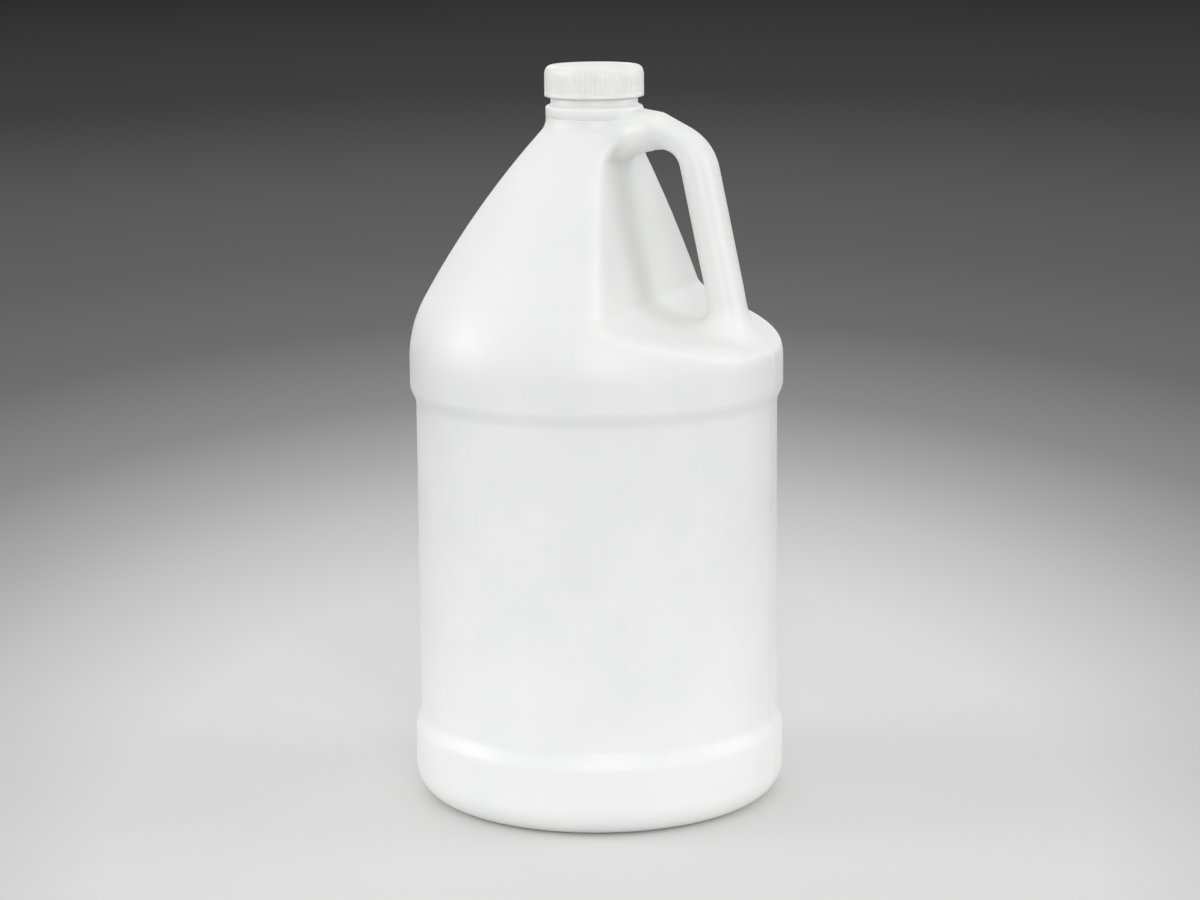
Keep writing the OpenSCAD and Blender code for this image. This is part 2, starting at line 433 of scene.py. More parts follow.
@dataclass(frozen=True)
class BlownHdpe:
    """Natural high-density polyethylene, blow-moulded.

    It gives the eye a milky white skin with a soft sheen, light that soaks into the wall, cloudy
    patches where the wall is thicker, and faint upright lines from the die.
    """

    thick: str = "#eff0ee"
    thin: str = "#f5f5f3"
    cloud_mm: float = 38.0
    ripple_mm: float = 24.0
    ripple_depth_mm: float = 0.6
    line_mm: float = 2.6
    line_depth_mm: float = 0.02
    line_stretch: float = 40.0

    # The real peel is finer than a pixel, so it is drawn coarser.
    peel_mm: float = 1.9
    peel_depth_mm: float = 0.03
    roughness: tuple[float, float] = (0.34, 0.46)

    def material(self) -> bpy.types.Material:
        """Makes the material."""
        made, tree, shader = start_material("natural_blown_hdpe")
        shader.inputs["IOR"].default_value = 1.54
        shader.inputs["Subsurface Weight"].default_value = 0.35
        shader.inputs["Subsurface Radius"].default_value = (1.0, 0.95, 0.88)
        shader.inputs["Subsurface Scale"].default_value = 5 * MM
        place = add_node(tree, "ShaderNodeTexCoord").outputs["Object"]
        cloud = add_noise(tree, place, self.cloud_mm, 3.0)
        lines = self.die_lines(tree, place)
        mixed = add_node(
            tree,
            "ShaderNodeMix",
            settings={"data_type": "FLOAT"},
            values={0: 0.15},
            links={2: cloud, 3: lines},
        )
        tint = add_tint(tree, mixed.outputs[0], ((0.3, self.thick), (0.7, self.thin)))
        tree.links.new(tint, shader.inputs["Base Color"])
        low, high = self.roughness
        sheen = add_node(
            tree,
            "ShaderNodeMapRange",
            values={"From Min": 0.3, "From Max": 0.7, "To Min": low, "To Max": high},
            links={"Value": cloud},
        )
        tree.links.new(sheen.outputs["Result"], shader.inputs["Roughness"])
        tree.links.new(self.relief(tree, place, lines), shader.inputs["Normal"])
        return made

    def die_lines(
        self, tree: bpy.types.NodeTree, place: bpy.types.NodeSocket
    ) -> bpy.types.NodeSocket:
        """Draws upright lines that run round the body.

        Args:
            tree: Node tree of the material.
            place: Object coordinates.

        Returns:
            The lines' strength, from 0 to 1.
        """
        split = add_node(tree, "ShaderNodeSeparateXYZ", links={"Vector": place})
        turn = add_node(
            tree,
            "ShaderNodeMath",
            settings={"operation": "ARCTAN2"},
            links={0: split.outputs["Y"], 1: split.outputs["X"]},
        )
        line_angle = self.line_mm / (frame_radius() / MM)
        across = add_node(
            tree,
            "ShaderNodeMath",
            settings={"operation": "MULTIPLY"},
            values={1: 1 / line_angle},
            links={0: turn.outputs[0]},
        )
        along = add_node(
            tree,
            "ShaderNodeMath",
            settings={"operation": "MULTIPLY"},
            values={1: 1 / (self.line_stretch * self.line_mm * MM)},
            links={0: split.outputs["Z"]},
        )
        join = add_node(
            tree,
            "ShaderNodeCombineXYZ",
            links={"X": across.outputs[0], "Y": along.outputs[0]},
        )
        noise = add_node(
            tree,
            "ShaderNodeTexNoise",
            values={"Scale": 1.0, "Detail": 2.0},
            links={"Vector": join.outputs[0]},
        )
        return noise.outputs[0]

    def relief(
        self,
        tree: bpy.types.NodeTree,
        place: bpy.types.NodeSocket,
        lines: bpy.types.NodeSocket,
    ) -> bpy.types.NodeSocket:
        """Raises the skin's lines, its fine peel and its slow ripple.

        Args:
            tree: Node tree of the material.
            place: Object coordinates.
            lines: Strength of the die lines.

        Returns:
            The bent normal.
        """
        ripple = add_noise(tree, place, self.ripple_mm, 1.0)
        peel = add_noise(tree, place, self.peel_mm, 2.0)
        normal = None
        for height, depth_mm in (
            (ripple, self.ripple_depth_mm),
            (lines, self.line_depth_mm),
            (peel, self.peel_depth_mm),
        ):
            bump = add_node(
                tree,
                "ShaderNodeBump",
                values={"Strength": 0.6, "Distance": depth_mm * MM},
                links={"Height": height},
            )
            if normal:
                tree.links.new(normal, bump.inputs["Normal"])
            normal = bump.outputs["Normal"]
        return normal


@dataclass(frozen=True)
class MouldedPolypropylene:
    """White polypropylene, injection-moulded.

    It gives the eye a clean, slightly warmer and glossier white than the body, with a fine satin
    grain on the flats.
    """

    colour: str = "#f1f1ee"
    shade: str = "#e9e9e5"
    cloud_mm: float = 9.0

    # The real grain is finer than a pixel, so it is drawn coarser.
    grain_mm: float = 0.8

    def material(self) -> bpy.types.Material:
        """Makes the material."""
        made, tree, shader = start_material("moulded_polypropylene")
        shader.inputs["IOR"].default_value = 1.49
        shader.inputs["Subsurface Weight"].default_value = 0.15
        shader.inputs["Subsurface Radius"].default_value = (1.0, 0.95, 0.9)
        shader.inputs["Subsurface Scale"].default_value = 2 * MM
        place = add_node(tree, "ShaderNodeTexCoord").outputs["Object"]
        cloud = add_noise(tree, place, self.cloud_mm, 2.0)
        tint = add_tint(tree, cloud, ((0.3, self.shade), (0.7, self.colour)))
        tree.links.new(tint, shader.inputs["Base Color"])
        grain = add_noise(tree, place, self.grain_mm, 1.0)
        satin = add_node(
            tree,
            "ShaderNodeMapRange",
            values={"From Min": 0.3, "From Max": 0.7, "To Min": 0.28, "To Max": 0.4},
            links={"Value": grain},
        )
        tree.links.new(satin.outputs["Result"], shader.inputs["Roughness"])
        bump = add_node(
            tree,
            "ShaderNodeBump",
            values={"Strength": 0.5, "Distance": 0.02 * MM},
            links={"Height": grain},
        )
        tree.links.new(bump.outputs["Normal"], shader.inputs["Normal"])
        return made


@dataclass(frozen=True)
class FoamedPolyethylene:
    """Closed-cell polyethylene foam with a thin film on both faces.

    It gives the eye a dull off-white sheet with fine round cells.
    """

    wall: str = "#efeeea"
    cell: str = "#dedcd6"

    # The real cells are finer than a pixel, so they are drawn coarser.
    cell_mm: float = 0.7

    def material(self) -> bpy.types.Material:
        """Makes the material."""
        made, tree, shader = start_material("foamed_polyethylene")
        shader.inputs["IOR"].default_value = 1.5
        shader.inputs["Roughness"].default_value = 0.6
        place = add_node(tree, "ShaderNodeTexCoord").outputs["Object"]
        cells = add_node(
            tree,
            "ShaderNodeTexVoronoi",
            settings={"feature": "SMOOTH_F1"},
            values={"Scale": 1 / (self.cell_mm * MM), "Smoothness": 0.4},
            links={"Vector": place},
        )
        tint = add_tint(tree, cells.outputs["Distance"], ((0.1, self.cell), (0.6, self.wall)))
        tree.links.new(tint, shader.inputs["Base Color"])
        bump = add_node(
            tree,
            "ShaderNodeBump",
            values={"Strength": 0.5, "Distance": 0.08 * MM},
            links={"Height": cells.outputs["Distance"]},
        )
        tree.links.new(bump.outputs["Normal"], shader.inputs["Normal"])
        return made


@dataclass
class JugBody:
    """The blown body: base, panel, dome, pocket, hollow handle and neck in one wall."""

    # Base and label panel
    body_r: float = 76.0
    panel_depth: float = 2.4
    panel_step_h: float = 8.0
    heel_r: float = 13.0
    foot_w: float = 8.0
    push_up_h: float = 5.0
    heel_band_z: float = 28.0
    shoulder_band_z: float = 172.0

    # Wall of the dressed body, a little over the CAD's so that the softened corners stay closed
    wall: float = 1.3

    # Dome
    shoulder_z: float = 182.0
    shoulder_r: float = 50.0
    shoulder_turn: float = 29.0
    dome_side_r: float = 360.0
    root_r: float = 8.0

    # Neck
    neck_r: float = 17.55
    mouth_r: float = 15.4
    collar_r: float = 19.6
    collar_h: float = 5.0
    finish_h: float = 13.9
    lip_edge: float = 0.5
    seam: float = 0.1

    # Pocket
    pocket_x: float = 12.0
    lean: float = 12.0
    ledge_z: float = 190.5
    ledge_slope: float = 12.0
    roof_drop: float = 17.2
    roof_turn: float = 50.0
    floor_blend: float = 24.0
    roof_blend: float = 8.0
    edge_power: float = 12.0

    # Handle
    grip_x: float = 36.0
    grip_depth: float = 13.8
    grip_width: float = 21.0
    arm_slope: float = 27.0
    arm_start_x: float = 4.0
    arm_share: float = 0.4
    outer_setback: float = 12.0
    foot_fillet: float = 6.0
    arm_fillet: float = 5.0
    section_power: float = 2.4
    foot_depth: float = 6.0
    neck_swell_gap: float = 3.0

    # Softening of the handle's roots
    crease_angle: float = 12.0
    crease_growth: int = 3
    crease_merge: float = 0.8
    smooth_factor: float = 0.5
    smooth_rounds: int = 24
    root_margin: float = 4.0
    foot_root_h: float = 26.0
    arm_root_reach: float = 10.0

    # Thread
    thread_depth: float = 1.15
    thread_rise: float = 4.6

    # Mould marks
    parting_half_w: float = 0.45
    parting_h: float = 0.14
    parting_catch: float = 0.02
    parting_low_z: float = 0.5

    # Fineness of the outer skin and of the cavity
    sides: int = 192
    cavity_sides: int = 112
    section_points: int = 48

    def __post_init__(self) -> None:
        """Works out the heights and radii that follow from the sizes."""
        turn = math.radians(self.shoulder_turn)
        self.turn_x = self.body_r - self.shoulder_r * (1 - math.cos(turn))
        self.turn_z = self.shoulder_z + self.shoulder_r * math.sin(turn)
        self.dome_x = self.turn_x - self.dome_side_r * math.cos(turn)
        self.dome_z = self.turn_z - self.dome_side_r * math.sin(turn)
        reach = self.collar_r - self.seam + self.root_r - self.dome_x
        self.root_turn = math.acos(reach / (self.dome_side_r + self.root_r))
        self.root_low_z = self.dome_z + self.dome_side_r * math.sin(self.root_turn)
        self.root_z = self.root_low_z + self.root_r * math.sin(self.root_turn)
        self.collar_z = self.root_z + self.collar_h
        self.lip_z = self.collar_z + self.finish_h
        self.bore_z = self.root_z + 1
        self.roof_z = self.collar_z - self.roof_drop
        self.arm_top_z = self.collar_z - 1
        self.arm_flat_x = self.collar_r + 5.4
        arm_run = self.grip_x - self.arm_flat_x
        self.arm_setback = self.arm_share * arm_run
        self.inner_setback = (1 - self.arm_share) * arm_run

    def dome_radius(self, z: float, inset: float) -> float:
        """Gives the dome's radius at a height.

        Args:
            z: Height.
            inset: Distance that the skin is set in, square to itself.

        Returns:
            Radius at that height.
        """
        turn = math.radians(self.shoulder_turn)
        if z <= self.shoulder_z:
            return self.body_r - inset
        if z <= self.turn_z - inset * math.sin(turn):
            rise = z - self.shoulder_z
            return self.body_r - self.shoulder_r + math.sqrt((self.shoulder_r - inset) ** 2 - rise**2)
        if z <= self.root_low_z - inset * math.sin(self.root_turn):
            rise = z - self.dome_z
            return self.dome_x + math.sqrt((self.dome_side_r - inset) ** 2 - rise**2)
        drop = min(self.root_z - z, self.root_r)
        return self.collar_r - self.seam + self.root_r - math.sqrt((self.root_r + inset) ** 2 - drop**2)

    def pocket_wall(self, z: float, inset: float) -> float:
        """Gives the distance from the axis to the pocket's wall.

        Args:
            z: Height.
            inset: Distance that the skin is set in, square to itself.

        Returns:
            Distance along X from the axis.
        """
        lean, slope, roof = (math.radians(a) for a in (self.lean, self.ledge_slope, self.roof_turn))
        face_x = self.pocket_x + (self.roof_z - z) * math.tan(lean) - inset / math.cos(lean)
        ledge_x = self.body_r - (z - self.ledge_z) / math.tan(slope) - inset / math.sin(slope)
        roof_x = self.pocket_x + (z - self.roof_z) * math.tan(roof) - inset / math.cos(roof)
        return soft_max(soft_max(face_x, ledge_x, self.floor_blend), roof_x, self.roof_blend)

    def lower_outline(self, inset: float, fine: int) -> Outline:
        """Draws the base, the heel, the bands and the label panel.

        Args:
            inset: Distance that the skin is set in.
            fine: How many times finer than the coarsest outline.

        Returns:
            Points from the middle of the base to the shoulder.
        """
        radius = self.body_r - inset
        panel = radius - self.panel_depth
        foot_r = self.body_r - self.heel_r
        inner_r = foot_r - self.foot_w
        step = self.panel_step_h
        outline = [
            (inner_r * t, inset + self.push_up_h * (1 + math.cos(math.pi * t)) / 2)
            for t in spread(0, 1, 6 * fine)
        ]
        outline += arc(foot_r, self.heel_r, self.heel_r - inset, -90, 0, 6 * fine)
        outline += soft_step(radius, self.heel_band_z, panel, self.heel_band_z + step, 5 * fine)
        panel_low = self.heel_band_z + step
        panel_high = self.shoulder_band_z - step
        outline += [(panel, z) for z in spread(panel_low, panel_high, 6 * fine)[1:-1]]
        outline += soft_step(panel, panel_high, radius, self.shoulder_band_z, 5 * fine)
        return outline

    def dome_heights(self, fine: int) -> list[float]:
        """Gives the heights of the dome's rings, closest on the ledge and at the roof."""
        ledge_low = self.ledge_z - 3
        ledge_high = self.ledge_z + 17
        roof_low = self.roof_z - 6
        heights = spread(self.shoulder_z, ledge_low, 3 * fine)
        heights += spread(ledge_low, ledge_high, 14 * fine)[1:]
        heights += spread(ledge_high, roof_low, 8 * fine)[1:]
        heights += spread(roof_low, self.root_z, 10 * fine)[1:]
        return heights

    def skin(self, name: str, inset: float, fine: int, sides: int) -> bpy.types.Object:
        """Turns the outer skin or the cavity, and presses the pocket in.

        Args:
            name: Name of the piece.
            inset: Distance that the skin is set in. The cavity runs out through the mouth.
            fine: How many times finer than the coarsest outline.
            sides: Number of steps in the turn.

        Returns:
            A closed solid without its handle.
        """
        outline = self.lower_outline(inset, fine)
        outline += [(self.dome_radius(z, inset), z) for z in self.dome_heights(fine)]
        if inset > 0:
            outline += [(self.mouth_r + 0.4, self.bore_z), (self.mouth_r, self.bore_z)]
            outline += [(self.mouth_r, self.lip_z + 2), (0, self.lip_z + 2)]
        else:
            outline += self.neck_outline()
        piece = turned(name, outline, sides)
        for point in piece.data.vertices:
            z = point.co.z / MM
            if self.shoulder_z < z <= self.root_z + 0.01:
                self.press(point, z, inset)
        return piece

    def press(self, point: bpy.types.MeshVertex, z: float, inset: float) -> None:
        """Moves one point of the dome in towards the axis, where the pocket's wall is nearer."""
        reach = math.hypot(point.co.x, point.co.y)
        if reach < MM:
            return
        toward_handle = max(point.co.x / reach, 0)
        cut = toward_handle / self.pocket_wall(z, inset)
        power = self.edge_power
        held = ((MM / reach) ** power + cut**power) ** (-1 / power)
        point.co.x *= held * MM / reach
        point.co.y *= held * MM / reach

    def neck_outline(self) -> Outline:
        """Draws the collar, the neck and the lip, up to the axis."""
        collar_edge = 1.0
        outline = [(self.collar_r - 0.3, self.root_z + 0.15), (self.collar_r, self.root_z + 0.6)]
        outline += arc(
            self.collar_r - collar_edge, self.collar_z - collar_edge, collar_edge, 0, 90, 8
        )
        outline += soft_step(
            self.collar_r - collar_edge - 0.2, self.collar_z, self.neck_r, self.collar_z + 0.9, 5
        )
        outline += arc(
            self.neck_r - self.lip_edge, self.lip_z - self.lip_edge, self.lip_edge, 0, 90, 6
        )
        return outline + [(self.mouth_r, self.lip_z), (0, self.lip_z)]

    def on_grip(self, x_at_roof: float, z: float) -> Vector:
        """Gives a point at a height on a line that leans as the grip does."""
        return Vector((x_at_roof + (self.roof_z - z) * math.tan(math.radians(self.lean)), 0, z))

    def handle_edges(self, inset: float) -> tuple[list[Vector], list[Vector]]:
        """Draws the finger-side edge and the outer edge of the handle, from the neck to the foot.

        Args:
            inset: Distance that the skin is set in.

        Returns:
            The two edges, with the same number of points.
        """
        lean, slope = math.radians(self.lean), math.radians(self.arm_slope)
        side = inset / math.cos(lean)
        foot_z = self.ledge_z - self.foot_depth
        low = self.roof_z + inset
        inner_x = self.grip_x + side
        inner = self.bent_line(
            Vector((self.arm_start_x, 0, low)),
            Vector((self.arm_flat_x, 0, low)),
            self.on_grip(inner_x, low),
            self.on_grip(inner_x, foot_z),
            self.inner_setback,
        )
        high = self.bore_z - 2 if inset > 0 else self.arm_top_z
        drop = self.arm_top_z - inset / math.cos(slope)
        outer_x = self.grip_x + self.grip_depth / math.cos(lean) - side
        fall = (outer_x - self.arm_flat_x) * math.tan(slope)
        bend_z = self.roof_z + (drop - fall - self.roof_z) / (1 - math.tan(lean) * math.tan(slope))
        outer = self.bent_line(
            Vector((self.arm_start_x, 0, high)),
            Vector((self.arm_flat_x + (drop - high) / math.tan(slope), 0, high)),
            self.on_grip(outer_x, bend_z),
            self.on_grip(outer_x, foot_z),
            self.outer_setback,
        )
        return inner, outer

    def bent_line(
        self, start: Vector, knee: Vector, bend: Vector, end: Vector, setback: float
    ) -> list[Vector]:
        """Draws a line with two rounded corners, at a set number of points.

        Args:
            start: First point, inside the neck.
            knee: Corner where the arm leaves the neck.
            bend: Corner where the arm turns into the grip.
            end: Last point, under the ledge.
            setback: Distance from the bend at which its curve starts and ends.

        Returns:
            Points along the line.
        """
        first = self.corner(start, knee, bend, self.arm_setback, 8)
        second = self.corner(knee, bend, end, setback, 14)
        lead = [start.lerp(first[0], t) for t in spread(0, 1, 8)[:-1]]
        middle = [first[-1].lerp(second[0], t) for t in spread(0, 1, 3)[1:-1]]
        tail = [second[-1].lerp(end, t) for t in spread(0, 1, 30)[1:]]
        return lead + first + middle + second + tail

    def corner(
        self, before: Vector, at: Vector, after: Vector, setback: float, count: int
    ) -> list[Vector]:
        """Rounds a corner between two lines.

        Args:
            before: Point on the first line.
            at: The corner.
            after: Point on the second line.
            setback: Distance from the corner at which the curve starts and ends.
            count: Number of steps.

        Returns:
            Points along the curve.
        """
        a = at + (before - at).normalized() * setback
        b = at + (after - at).normalized() * setback
        return [a * (1 - t) ** 2 + at * (2 * t * (1 - t)) + b * t**2 for t in spread(0, 1, count)]

    def handle(self, name: str, inset: float) -> bpy.types.Object:
        """Draws the handle's oval sections and lofts a tube through them.

        Args:
            name: Name of the piece.
            inset: Distance that the skin is set in.

        Returns:
            A closed tube, flared where it runs into the body.
        """
        inner, outer = self.handle_edges(inset)
        half_width = Vector((0, self.grip_width / 2 - inset, 0))
        rings = []
        for low, high in zip(inner, outer):
            middle = (low + high) / 2
            half = (high - low) / 2
            ring = []
            for step in range(self.section_points):
                angle = math.tau * step / self.section_points
                u, v = (
                    math.copysign(abs(w) ** (2 / self.section_power), w)
                    for w in (math.cos(angle), math.sin(angle))
                )
                point = middle + half * u + half_width * v
                ring.append(point + self.swell(point, (point - middle).normalized(), inset))
            rings.append(ring)
        return lofted(name, rings)

    def swell(self, point: Vector, outward: Vector, inset: float) -> Vector:
        """Gives the move that flares the handle's skin near the ledge and near the neck.

        Args:
            point: Point of the plain handle.
            outward: Direction out of the section at that point.
            inset: Distance that the skin is set in.

        Returns:
            The move, which leaves the top of the arm flush with the collar.
        """
        slope = math.radians(self.ledge_slope)
        ledge = self.ledge_z + (self.body_r - point.x) * math.tan(slope)
        above_ledge = (point.z - ledge) * math.cos(slope) + inset
        move = outward * self.fillet(above_ledge, self.foot_fillet)
        if point.z > self.roof_z - self.root_margin and inset == 0:
            beyond_neck = math.hypot(point.x, point.y) - self.collar_r - self.neck_swell_gap
            level = Vector((outward.x, outward.y, min(outward.z, 0)))
            move += level * self.fillet(beyond_neck, self.arm_fillet)
        return move

    def fillet(self, distance: float, radius: float) -> float:
        """Gives the swell of a round fillet at a distance from the surface that it runs into."""
        kept = min(max(distance, radius * 0.12), radius)
        return radius - math.sqrt(radius**2 - (radius - kept) ** 2)

    def soften_roots(self, piece: bpy.types.Object) -> None:
        """Smooths the creases where the handle runs into the neck and the ledge."""
        make_active(piece)
        bpy.ops.object.mode_set(mode="EDIT")
        bpy.ops.mesh.select_mode(type="EDGE")
        bpy.ops.mesh.select_all(action="DESELECT")
        bpy.ops.mesh.edges_select_sharp(sharpness=math.radians(self.crease_angle))
        bpy.ops.mesh.select_mode(type="VERT")
        drop_points(piece, lambda place: self.on_collar(place) or not self.at_root(place))
        for _ in range(self.crease_growth):
            bpy.ops.mesh.select_more()
        bpy.ops.mesh.remove_doubles(threshold=self.crease_merge * MM)
        bpy.ops.mesh.quads_convert_to_tris()
        bpy.ops.mesh.beautify_fill()
        bpy.ops.mesh.select_more()
        drop_points(piece, self.on_collar)
        bpy.ops.mesh.vertices_smooth(factor=self.smooth_factor, repeat=self.smooth_rounds)
        bpy.ops.object.mode_set(mode="OBJECT")

    def at_root(self, place: Vector) -> bool:
        """Tells whether a place is where the handle runs into the neck or the ledge."""
        if abs(place.y) > self.grip_width:
            return False
        over_ledge = self.ledge_z < place.z < self.ledge_z + self.foot_root_h
        at_foot = over_ledge and place.x > self.grip_x - self.root_margin
        under_collar = self.roof_z - self.root_margin < place.z < self.collar_z - 1.5
        at_arm = self.pocket_x < place.x < self.arm_flat_x + self.arm_root_reach
        return at_foot or (under_collar and at_arm)

    def on_collar(self, place: Vector) -> bool:
        """Tells whether a place is on the collar or the neck, which keep their crisp edges."""
        return place.z > self.root_z - 0.3 and math.hypot(place.x, place.y) < self.collar_r + 0.4

    def mark_parting(self, piece: bpy.types.Object) -> None:
        """Raises the fine line that the two mould halves leave round the body and the handle."""
        make_active(piece)
        bpy.ops.object.mode_set(mode="EDIT")
        for offset in (-self.parting_half_w, 0.0, self.parting_half_w):
            bpy.ops.mesh.select_all(action="SELECT")
            bpy.ops.mesh.bisect(plane_co=(0, offset * MM, 0), plane_no=(0, 1, 0))
        select_points(
            piece,
            lambda place: abs(place.y) < self.parting_catch
            and self.parting_low_z < place.z < self.arm_top_z,
        )
        bpy.ops.transform.shrink_fatten(value=self.parting_h * MM)
        bpy.ops.object.mode_set(mode="OBJECT")

    def thread(self) -> bpy.types.Object:
        """Sweeps the neck's screw thread."""
        start_z = self.collar_z + self.thread_rise
        return swept_thread("jug_neck_thread", self.neck_r, self.thread_depth, start_z, 0.0)

    def build(self, material: bpy.types.Material) -> None:
        """Builds the body and its thread, and dresses them.

        Args:
            material: Finish of the body.
        """
        piece = self.skin("jug_blown_body", 0, 2, self.sides)
        work_in(piece, self.handle("handle_skin", 0), Join.ADD)
        self.soften_roots(piece)
        self.mark_parting(piece)
        cavity = self.skin("cavity", self.wall, 1, self.cavity_sides)
        work_in(cavity, self.handle("handle_cavity", self.wall), Join.ADD)
        work_in(piece, cavity, Join.CUT)
        finish_piece(piece, material, Body.JUG, 38, "jug_body")
        finish_piece(self.thread(), material, Body.JUG, 50)


@dataclass
class ScrewCap:
    """The screw cap: a round-edged cup with a ribbed skirt, a foot bead and an inner thread."""

    cap_r: float = 20.0
    cap_h: float = 12.4
    top_t: float = 1.1
    edge_r: float = 2.6
    bore_r: float = 19.0
    corner_r: float = 1.0
    bead_h: float = 1.2
    rib_count: int = 60
    rib_depth: float = 0.3
    rib_points: int = 6
    panel_r: float = 15.6
    panel_drop: float = 0.25
    rib_fade_h: float = 1.4
    rib_sharpness: float = 0.7

    # Thread, started at the turn that lays its ridge 1.75 mm under the neck's
    thread_depth: float = 1.05
    thread_rise: float = 1.6
    thread_turn: float = 0.5635

    def __post_init__(self) -> None:
        """Takes the cap's place from the CAD frame."""
        self.top_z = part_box("screw_cap")[1].z / MM
        self.low_z = self.top_z - self.cap_h

    def outline(self) -> Outline:
        """Draws the cup's section, from the middle of the top round to the middle inside."""
        core = self.cap_r - self.rib_depth
        panel_z = self.top_z - self.panel_drop
        outline = [(0.0, panel_z)]
        outline += [(r, panel_z) for r in spread(3.0, self.panel_r - 0.9, 4)]
        outline += soft_step(self.panel_r - 0.4, panel_z, self.panel_r + 0.4, self.top_z, 5)
        outline += arc(core - self.edge_r, self.top_z - self.edge_r, self.edge_r, 90, 0, 12)
        bead_top = self.low_z + self.bead_h
        outline += [(core, z) for z in spread(self.top_z - self.edge_r - 0.5, bead_top + 0.9, 10)]
        outline += soft_step(core, bead_top + 0.5, self.cap_r, bead_top, 4)
        outline += arc(self.cap_r - 0.25, self.low_z + 0.25, 0.25, 0, -90, 3)
        outline += arc(self.bore_r + 0.2, self.low_z + 0.2, 0.2, -90, -180, 3)
        inner_z = self.top_z - self.top_t
        inner_low = inner_z - self.corner_r
        outline += [(self.bore_r, z) for z in spread(self.low_z + 1, inner_low - 0.5, 4)]
        outline += arc(self.bore_r - self.corner_r, inner_low, self.corner_r, 0, 90, 5)
        return outline + [(r, inner_z) for r in spread(self.bore_r - self.corner_r - 1, 0, 5)]

    def raise_ribs(self, piece: bpy.types.Object) -> None:
        """Raises the grip ribs on the outside of the skirt, fading out under the rounded edge."""
        low = self.low_z + self.bead_h + 0.3
        high = self.top_z - self.edge_r + 0.6
        for point in piece.data.vertices:
            reach = math.hypot(point.co.x, point.co.y) / MM
            z = point.co.z / MM
            if reach < self.cap_r - self.rib_depth - 0.6 or not low < z < high:
                continue
            turn = math.atan2(point.co.y, point.co.x) / math.tau * self.rib_count
            crest = (0.5 + 0.5 * math.cos(math.tau * turn)) ** self.rib_sharpness
            fade = min(1.0, (high - z) / self.rib_fade_h)
            swell = 1 + self.rib_depth * crest * fade / reach
            point.co.x *= swell
            point.co.y *= swell

    def build(self, material: bpy.types.Material) -> None:
        """Builds the cap and its inner thread, and dresses them.

        Args:
            material: Finish of the cap.
        """
        piece = turned("screw_cap_shell", self.outline(), self.rib_count * self.rib_points)
        self.raise_ribs(piece)
        finish_piece(piece, material, Body.CAP, 40, "screw_cap")
        start_z = self.low_z + self.thread_rise
        thread = swept_thread(
            "screw_cap_thread", self.bore_r, -self.thread_depth, start_z, self.thread_turn
        )
        finish_piece(thread, material, Body.CAP, 50)


@dataclass
class CapLiner:
    """The foam disc under the cap's top plate, with the ring that the lip has pressed in it."""

    edge_r: float = 0.3
    lip_r: float = 16.5
    lip_half_w: float = 0.9
    press_depth: float = 0.12
    sides: int = 96

    def build(self, material: bpy.types.Material) -> None:
        """Builds the liner and dresses it.

        Args:
            material: Finish of the liner.
        """
        low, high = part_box("cap_liner")
        radius, low_z, high_z = high.x / MM, low.z / MM, high.z / MM
        outline = [(0.0, high_z)]
        outline += arc(radius - self.edge_r, high_z - self.edge_r, self.edge_r, 90, 0, 4)
        outline += arc(radius - self.edge_r, low_z + self.edge_r, self.edge_r, 0, -90, 4)
        for r in spread(self.lip_r + self.lip_half_w, self.lip_r - self.lip_half_w, 10):
            away = (r - self.lip_r) / self.lip_half_w
            outline.append((r, low_z + self.press_depth * math.cos(away * math.pi / 2) ** 2))
        outline += [(r, low_z) for r in (12.0, 8.0, 4.0, 0.0)]
        piece = turned("cap_foam_liner", outline, self.sides)
        finish_piece(piece, material, Body.LINER, 40, "cap_liner")


@dataclass(frozen=True)
class Lamp:
    """A square soft lamp: its place and side in metres, and its power in watts."""

    name: str
    place: tuple[float, float, float]
    side: float
    power: float


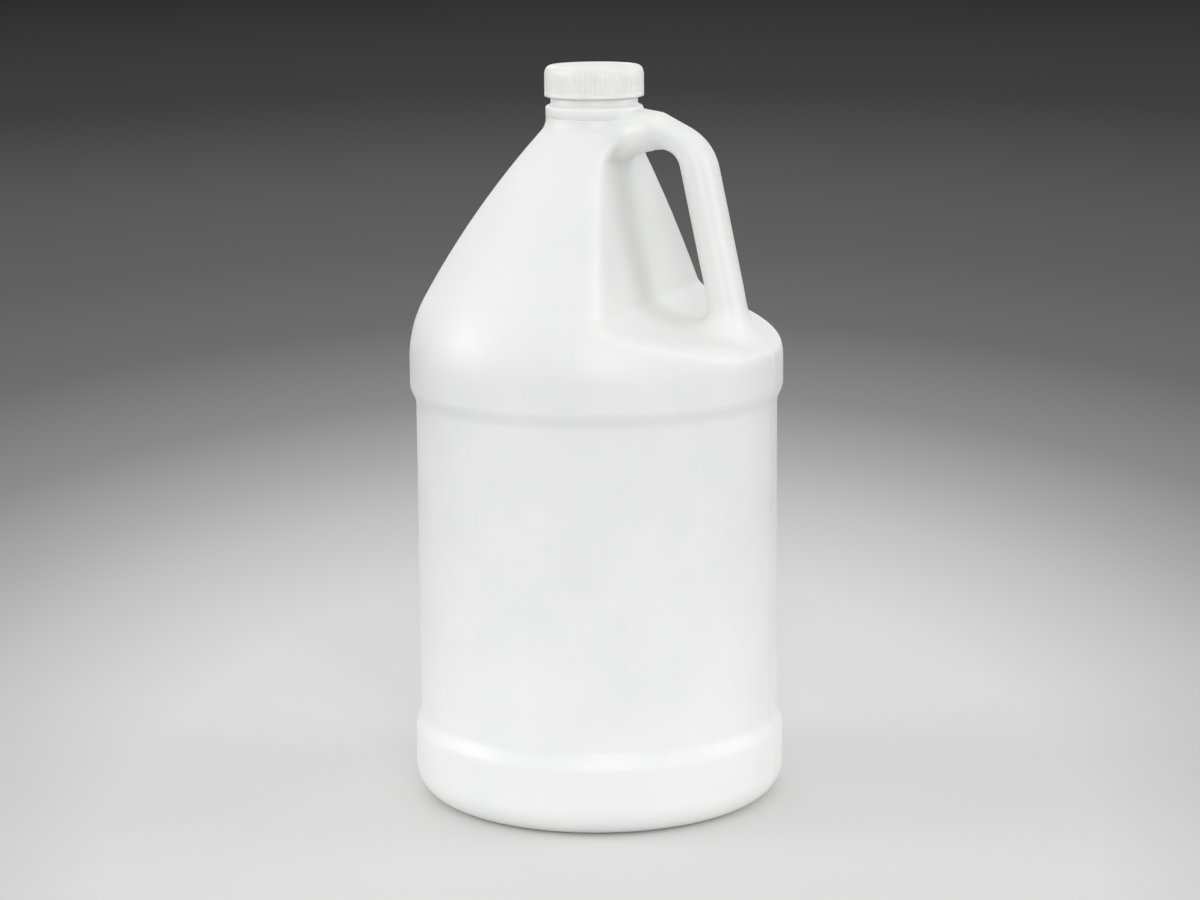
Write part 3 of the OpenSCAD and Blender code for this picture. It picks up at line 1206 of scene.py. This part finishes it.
@dataclass
class Studio:
    """The floor, the lamps and the camera."""

    # Painted pool of light on the floor: its tones at growing distances from the jug, in metres, pale
    # round the jug and darker far away
    light_pool_tones: tuple[tuple[float, str], ...] = (
        (0.0, "#dedede"),
        (0.4, "#d8d8d8"),
        (0.6, "#c1c1c1"),
        (0.75, "#a9a9a9"),
        (0.95, "#8b8b8b"),
        (1.3, "#6e6e6e"),
        (1.78, "#626262"),
        (2.5, "#595959"),
        (3.7, "#464646"),
        (7.3, "#323232"),
    )
    # Stretch of the painted pool of light along the camera's line
    glow_squeeze: float = 2.0
    floor_reach: float = 12.0
    camera_distance: float = 1.2744
    camera_height: float = 0.3897
    camera_azimuth: float = 20.0
    camera_pitch: float = 10.97
    camera_pan: float = -0.052
    camera_roll: float = -0.47
    focal_px: float = 3167.6
    image_w: float = 1200.0
    sensor_mm: float = 36.0
    world_strength: float = 0.81
    lamp_aim: tuple[float, float, float] = (0.0, 0.0, 0.15)
    lamps: tuple[Lamp, ...] = (
        Lamp("left_softbox", (-2.1, -0.85, 0.8), 1.1, 14),
        Lamp("back_softbox", (-1.4, 2.1, 1.5), 1.2, 4),
        Lamp("right_softbox", (2.1, 0.75, 0.8), 1.1, 10),
        Lamp("front_fill", (1.2, -2.4, 0.75), 1.2, 23),
    )

    def floor_material(self) -> bpy.types.Material:
        """Makes the floor's painted pool of light, pale round the jug and grey far away."""
        made, tree, shader = start_material("floor_painted_light_pool")
        shader.inputs["Roughness"].default_value = 0.9
        shader.inputs["Specular IOR Level"].default_value = 0.0
        place = add_node(tree, "ShaderNodeTexCoord").outputs["Object"]
        squeezed = add_node(
            tree,
            "ShaderNodeMapping",
            settings={"vector_type": "TEXTURE"},
            values={
                "Rotation": (0, 0, math.radians(self.camera_azimuth)),
                "Scale": (1 / self.glow_squeeze, 1, 1),
            },
            links={"Vector": place},
        )
        reach = add_node(
            tree,
            "ShaderNodeVectorMath",
            settings={"operation": "LENGTH"},
            links={0: squeezed.outputs[0]},
        )
        far = self.light_pool_tones[-1][0]
        part = add_node(
            tree,
            "ShaderNodeMath",
            settings={"operation": "DIVIDE"},
            values={1: far},
            links={0: reach.outputs["Value"]},
        )
        # Painted pool of light: the floor's colour runs from pale to dark with distance from the jug
        tint = add_tint(tree, part.outputs[0], [(away / far, tone) for away, tone in self.light_pool_tones])
        tree.links.new(tint, shader.inputs["Base Color"])
        return made

    def lay_floor(self) -> None:
        """Lays the floor."""
        start_fresh()
        bpy.ops.mesh.primitive_circle_add(vertices=96, radius=self.floor_reach, fill_type="NGON")
        floor = bpy.context.object
        floor.name = "studio_floor"
        floor.data.materials.append(self.floor_material())

    def hang_lamp(self, lamp: Lamp) -> None:
        """Hangs a lamp that faces the jug.

        Args:
            lamp: The lamp to hang.
        """
        start_fresh()
        bpy.ops.object.light_add(type="AREA", location=lamp.place)
        hung = bpy.context.object
        hung.name = lamp.name
        hung.data.size = lamp.side
        hung.data.energy = lamp.power
        aim = Vector(self.lamp_aim) - Vector(lamp.place)
        hung.rotation_euler = aim.to_track_quat("-Z", "Y").to_euler()

    def light(self) -> None:
        """Sets the soft surround and the lamps."""
        world = bpy.data.worlds.new("studio_surround")
        bpy.context.scene.world = world
        world.use_nodes = True
        surround = world.node_tree.nodes["Background"]
        surround.inputs["Color"].default_value = (1, 1, 1, 1)
        surround.inputs["Strength"].default_value = self.world_strength
        for lamp in self.lamps:
            self.hang_lamp(lamp)

    def stand_camera(self) -> None:
        """Stands the camera where the photograph was taken from."""
        azimuth = math.radians(self.camera_azimuth)
        start_fresh()
        bpy.ops.object.camera_add()
        camera = bpy.context.object
        camera.name = "photo_camera"
        camera.location = (
            self.camera_distance * math.sin(azimuth),
            -self.camera_distance * math.cos(azimuth),
            self.camera_height,
        )
        pitch = math.radians(self.camera_pitch)
        turn = azimuth + math.radians(self.camera_pan)
        ahead = Vector((-math.sin(turn), math.cos(turn), -math.tan(pitch)))
        aim = ahead.to_track_quat("-Z", "Y").to_matrix()
        roll = Matrix.Rotation(math.radians(self.camera_roll), 3, "Z")
        camera.rotation_euler = (aim @ roll).to_euler()
        camera.data.sensor_width = self.sensor_mm
        camera.data.lens = self.focal_px * self.sensor_mm / self.image_w
        bpy.context.scene.camera = camera

    def build(self) -> None:
        """Lays the floor, hangs the lamps and stands the camera."""
        bpy.context.scene.view_settings.view_transform = "Standard"
        self.lay_floor()
        self.light()
        self.stand_camera()


def main() -> None:
    """Builds the jug piece by piece, then the studio."""
    logging.basicConfig(level=logging.INFO, format="%(message)s")
    hdpe = BlownHdpe().material()
    polypropylene = MouldedPolypropylene().material()
    foam = FoamedPolyethylene().material()
    JugBody().build(hdpe)
    ScrewCap().build(polypropylene)
    CapLiner().build(foam)
    Studio().build()


if __name__ == "__main__":
    main()
